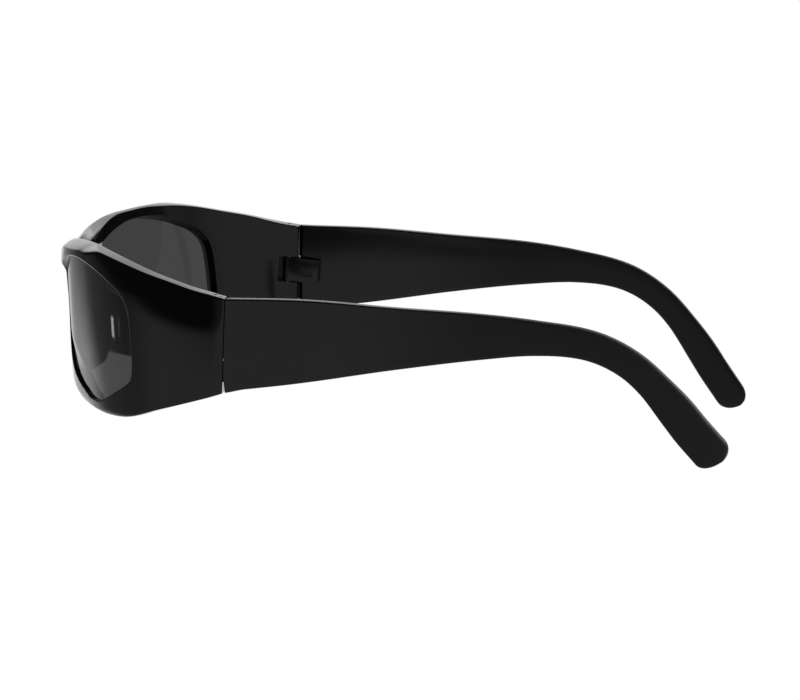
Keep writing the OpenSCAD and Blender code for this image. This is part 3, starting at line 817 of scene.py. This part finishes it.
GLOSS_TONE = 0.002
GLOSS_ROUGH = 0.1
GLOSS_PEEL = 0.1
SATIN_TONE = 0.006
SATIN_ROUGH = 0.24
SATIN_PEEL = 0.2
PLASTIC_IOR = 1.49
PLASTIC_BLUE = 1.04  # how much bluer than grey
WEAR_SCALE = 60
WEAR_DETAIL = 5
WEAR_SPAN = (0.3, 0.7)  # of the noise
WEAR_SWING = 0.15  # share by which the roughness changes
PEEL_SCALE = 1500
PEEL_DETAIL = 2
PEEL_HEIGHT = 0.00005  # metres
# The satin plastic gets duller and greyer over a stretch of y in metres
DULL_SPAN = (-0.01, 0.03)
PLAIN_SHINE = 0.5
DULL_SHINE = 0.06
DULL_TONE = 0.04
SMOKE_COLOUR = (0.004, 0.004, 0.0042, 1)
SMOKE_ALPHA = 0.78
SMOKE_IOR = 1.55
SMOKE_SCALE = 25
SMOKE_ROUGH = (0.02, 0.07)
STEEL_COLOUR = (0.3, 0.3, 0.31, 1)
STEEL_SCALE = 900
STEEL_ROUGH = (0.25, 0.45)


def span_node(tree, value, span, ends, kind="SMOOTHSTEP"):
    """A node that goes from one number to another over a span of its input."""
    node = tree.nodes.new("ShaderNodeMapRange")
    node.interpolation_type = kind
    for key, number in zip(("From Min", "From Max", "To Min", "To Max"), (*span, *ends)):
        node.inputs[key].default_value = number
    tree.links.new(value, node.inputs["Value"])
    return node.outputs["Result"]


def combine(tree, operation, first, *others):
    """Nodes that add or multiply values one after another."""
    for other in others:
        node = tree.nodes.new("ShaderNodeMath")
        node.operation = operation
        tree.links.new(first, node.inputs[0])
        tree.links.new(other, node.inputs[1])
        first = node.outputs["Value"]
    return first


def noise(tree, where, scale, detail=2):
    node = tree.nodes.new("ShaderNodeTexNoise")
    node.inputs["Scale"].default_value = scale
    node.inputs["Detail"].default_value = detail
    tree.links.new(where, node.inputs["Vector"])
    return node.outputs["Fac"]


def new_material(name, colour):
    """A material with its node tree, its shader and the place on the object."""
    mat = bpy.data.materials.new(name)
    mat.use_nodes = True
    tree = mat.node_tree
    shader = tree.nodes["Principled BSDF"]
    shader.inputs["Base Color"].default_value = colour
    where = tree.nodes.new("ShaderNodeTexCoord").outputs["Object"]
    return mat, tree, shader, where


def plastic(name, tone, rough, peel, dull=False):
    """Moulded black plastic with a faint orange peel and uneven polish."""
    mat, tree, shader, where = new_material(name, (tone, tone, tone * PLASTIC_BLUE, 1))
    shader.inputs["IOR"].default_value = PLASTIC_IOR
    wear = noise(tree, where, WEAR_SCALE, WEAR_DETAIL)
    polish = span_node(tree, wear, WEAR_SPAN,
                       (rough * (1 - WEAR_SWING), rough * (1 + WEAR_SWING)), "LINEAR")
    tree.links.new(polish, shader.inputs["Roughness"])
    bump = tree.nodes.new("ShaderNodeBump")
    bump.inputs["Strength"].default_value = peel
    bump.inputs["Distance"].default_value = PEEL_HEIGHT
    tree.links.new(noise(tree, where, PEEL_SCALE, PEEL_DETAIL), bump.inputs["Height"])
    tree.links.new(bump.outputs["Normal"], shader.inputs["Normal"])
    if dull:
        split = tree.nodes.new("ShaderNodeSeparateXYZ")
        tree.links.new(where, split.inputs["Vector"])
        changes = {"Specular IOR Level": (PLAIN_SHINE, DULL_SHINE), "Base Color": (tone, DULL_TONE)}
        for key, ends in changes.items():
            tree.links.new(span_node(tree, split.outputs["Y"], DULL_SPAN, ends), shader.inputs[key])
    return mat


def smoked(name):
    """A dark lens that lets some light through, with a faint haze."""
    mat, tree, shader, where = new_material(name, SMOKE_COLOUR)
    shader.inputs["Alpha"].default_value = SMOKE_ALPHA
    shader.inputs["IOR"].default_value = SMOKE_IOR
    haze = span_node(tree, noise(tree, where, SMOKE_SCALE), (0, 1), SMOKE_ROUGH, "LINEAR")
    tree.links.new(haze, shader.inputs["Roughness"])
    return mat


def steel(name):
    mat, tree, shader, where = new_material(name, STEEL_COLOUR)
    shader.inputs["Metallic"].default_value = 1
    grain = span_node(tree, noise(tree, where, STEEL_SCALE), (0, 1), STEEL_ROUGH, "LINEAR")
    tree.links.new(grain, shader.inputs["Roughness"])
    return mat


# The pieces in the frame

def place(ob, mat, node, body, slot):
    ob.data.materials.clear()
    ob.data.materials.append(mat)
    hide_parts(node)
    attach(ob, body)


gloss_black = plastic("gloss_black", GLOSS_TONE, GLOSS_ROUGH, GLOSS_PEEL)
satin_black = plastic("satin_black", SATIN_TONE, SATIN_ROUGH, SATIN_PEEL, dull=True)
smoke = smoked("smoke_lens")
pin_steel = steel("pin_steel")

place(make_front(), gloss_black, "front_frame", "front", "front")
left_lens = make_lens()
right_lens = mirrored(left_lens, "lens_right_pane")
place(left_lens, smoke, "lens_left", "front", "lens")
place(right_lens, smoke, "lens_right", "front", "lens")
left_temple = make_temple()
right_temple = mirrored(left_temple, "temple_right_arm")
shade(right_temple.data, MOULD_ANGLE)
place(left_temple, satin_black, "temple_left", "left_temple", "temple")
place(right_temple, satin_black, "temple_right", "right_temple", "temple")
for pin in ("hinge_pin_left", "hinge_pin_right"):
    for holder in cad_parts[pin].material_slots:
        holder.material = pin_steel


# Floor, lights and background

# The camera sees plain white. The glasses are lit by a studio and reflect it. A direction in it
# has three parts between -1 and 1: across, which is + on the near side, ahead, which is - on the
# front's side, and up. A pair is a stretch of one part over which a light begins or ends.
HORIZON = (-0.14, 0.15)
# The white backdrop beyond the far side
BACKDROP_SIDE = (-0.86, -0.74)
BACKDROP_TOP = (0.45, 0.6)
BACKDROP_LIGHT = 1.5
BACKDROP_FRONT = (-0.3, -0.16)
BACKDROP_REAR = 0.7  # its share behind
# The table below the horizon, brighter where it sweeps up to the backdrop
TABLE_LIGHT = 0.25
NEAR_SIDE = (0.0, 0.6)
NEAR_LIGHT = 0.25  # more than that on the near side
SWEEP_SIDE = (-0.92, -0.58)
SWEEP_LIGHT = 0.85
SWEEP_LOW = (-0.25, -0.195)
LOW_SHIFT = -0.2  # how much farther over the sweep reaches there
LOW_GAIN = 1.7  # and how much brighter it is
SWEEP_FOOT = (-0.42, -0.28)
FOOT_GAIN = 0.4  # its share at the very bottom
# The table's edge is lower ahead on the far side, and higher on the near side farther back
EDGE_DROP = 0.14
EDGE_SIDE = (-0.5, -0.2)
EDGE_ACROSS = (-0.1, 0.35)
NEAR_RISE = -0.35
RISE_FROM = (-0.28, -0.12)
RISE_SIDE = (0.3, 0.6)
# The softbox above the far side
SOFTBOX_FROM = (0.4, 0.54)
SOFTBOX_LIGHT = 5.0
SOFTBOX_FRONT = (-0.2, 0.1)
SOFTBOX_BACK = (0.1, 0.5)
SOFTBOX_LOWER = 0.34  # how much lower it reaches behind
SOFTBOX_SIDE = (-0.38, -0.2)
SOFTBOX_END = (-0.9, -0.74)
ROOM_LIGHT = 0.04
FLOOR_LIGHT = 0.35
# The floor, in metres: half its size, and how far it lies below the glasses
FLOOR_SIZE = 3.0
FLOOR_DROP = 0.0002
# The strip light for the near lens's highlight, in metres and watts
STRIP_AT = (0.029, -0.150, 0.004)
STRIP_AIM = (0.0535, -0.0656, 0.022)
STRIP_WIDTH = 0.004
STRIP_HEIGHT = 0.006
STRIP_POWER = 0.0003


def camera_sees(tree, out, seen, lit):
    """The camera sees one shader, and every other ray the other one."""
    mix = tree.nodes.new("ShaderNodeMixShader")
    path = tree.nodes.new("ShaderNodeLightPath")
    tree.links.new(path.outputs["Is Camera Ray"], mix.inputs["Fac"])
    tree.links.new(lit, mix.inputs[1])
    tree.links.new(seen, mix.inputs[2])
    tree.links.new(mix.outputs["Shader"], out.inputs["Surface"])


def add_floor():
    """A floor that is white to the camera and dimmer to the glasses."""
    s = FLOOR_SIZE
    mesh = bpy.data.meshes.new("floor")
    mesh.from_pydata([(-s, -s, 0), (s, -s, 0), (s, s, 0), (-s, s, 0)], [], [(0, 1, 2, 3)])
    floor = bpy.data.objects.new("floor", mesh)
    floor.location.z = -FLOOR_DROP
    bpy.context.scene.collection.objects.link(floor)
    mat = bpy.data.materials.new("floor_white")
    mat.use_nodes = True
    tree = mat.node_tree
    tree.nodes.clear()
    out = tree.nodes.new("ShaderNodeOutputMaterial")
    white = tree.nodes.new("ShaderNodeEmission")
    glow = tree.nodes.new("ShaderNodeEmission")
    glow.inputs["Strength"].default_value = FLOOR_LIGHT
    camera_sees(tree, out, white.outputs["Emission"], glow.outputs["Emission"])
    mesh.materials.append(mat)
    floor.visible_glossy = False


def backdrop_light(tree, across, ahead, up):
    return combine(tree, "MULTIPLY",
                   span_node(tree, across, BACKDROP_SIDE, (BACKDROP_LIGHT, 0)),
                   span_node(tree, up, BACKDROP_TOP, (1, 0)),
                   span_node(tree, up, HORIZON, (0, 1)),
                   span_node(tree, ahead, BACKDROP_FRONT, (1, BACKDROP_REAR)))


def table_light(tree, across, ahead, up):
    side = combine(tree, "ADD", across, span_node(tree, up, SWEEP_LOW, (LOW_SHIFT, 0)))
    sweep = combine(tree, "MULTIPLY",
                    span_node(tree, side, SWEEP_SIDE, (SWEEP_LIGHT, 0)),
                    span_node(tree, up, SWEEP_LOW, (LOW_GAIN, 1)),
                    span_node(tree, up, SWEEP_FOOT, (FOOT_GAIN, 1)))
    flat = span_node(tree, across, NEAR_SIDE, (TABLE_LIGHT, TABLE_LIGHT + NEAR_LIGHT))
    drop = combine(tree, "MULTIPLY",
                   span_node(tree, ahead, EDGE_SIDE, (EDGE_DROP, 0)),
                   span_node(tree, across, EDGE_ACROSS, (1, 0)))
    rise = combine(tree, "MULTIPLY",
                   span_node(tree, ahead, RISE_FROM, (0, NEAR_RISE)),
                   span_node(tree, across, RISE_SIDE, (0, 1)))
    edge = combine(tree, "ADD", up, drop, rise)
    return combine(tree, "MULTIPLY", combine(tree, "ADD", sweep, flat),
                   span_node(tree, edge, HORIZON, (1, 0)))


def softbox_light(tree, across, ahead, up):
    height = combine(tree, "ADD", up, span_node(tree, ahead, SOFTBOX_BACK, (0, SOFTBOX_LOWER)))
    return combine(tree, "MULTIPLY",
                   span_node(tree, height, SOFTBOX_FROM, (0, SOFTBOX_LIGHT)),
                   span_node(tree, ahead, SOFTBOX_FRONT, (0, 1)),
                   span_node(tree, across, SOFTBOX_SIDE, (1, 0)),
                   span_node(tree, across, SOFTBOX_END, (0, 1)))


def add_world():
    """White to the camera. To the glasses a backdrop, a table, a softbox and a dark room."""
    world = bpy.data.worlds.new("studio")
    bpy.context.scene.world = world
    world.use_nodes = True
    tree = world.node_tree
    tree.nodes.clear()
    out = tree.nodes.new("ShaderNodeOutputWorld")
    seen = tree.nodes.new("ShaderNodeBackground")
    seen.inputs["Color"].default_value = (1, 1, 1, 1)
    lit = tree.nodes.new("ShaderNodeBackground")
    where = tree.nodes.new("ShaderNodeTexCoord")
    split = tree.nodes.new("ShaderNodeSeparateXYZ")
    tree.links.new(where.outputs["Generated"], split.inputs["Vector"])
    direction = [split.outputs[key] for key in "XYZ"]
    lights = [light(tree, *direction) for light in (backdrop_light, table_light, softbox_light)]
    lift = tree.nodes.new("ShaderNodeMath")
    lift.operation = "ADD"
    lift.inputs[1].default_value = ROOM_LIGHT
    tree.links.new(combine(tree, "ADD", *lights), lift.inputs[0])
    tree.links.new(lift.outputs["Value"], lit.inputs["Strength"])
    camera_sees(tree, out, seen.outputs["Background"], lit.outputs["Background"])


def add_strip_light():
    data = bpy.data.lights.new("strip", "AREA")
    data.shape = "RECTANGLE"
    data.size, data.size_y = STRIP_WIDTH, STRIP_HEIGHT
    data.energy = STRIP_POWER
    ob = bpy.data.objects.new("strip", data)
    ob.location = STRIP_AT
    look = Vector(STRIP_AIM) - Vector(STRIP_AT)
    ob.rotation_euler = look.to_track_quat("-Z", "Y").to_euler()
    bpy.context.scene.collection.objects.link(ob)
    ob.visible_camera = False


add_floor()
add_world()
add_strip_light()
bpy.context.scene.view_settings.view_transform = "Standard"
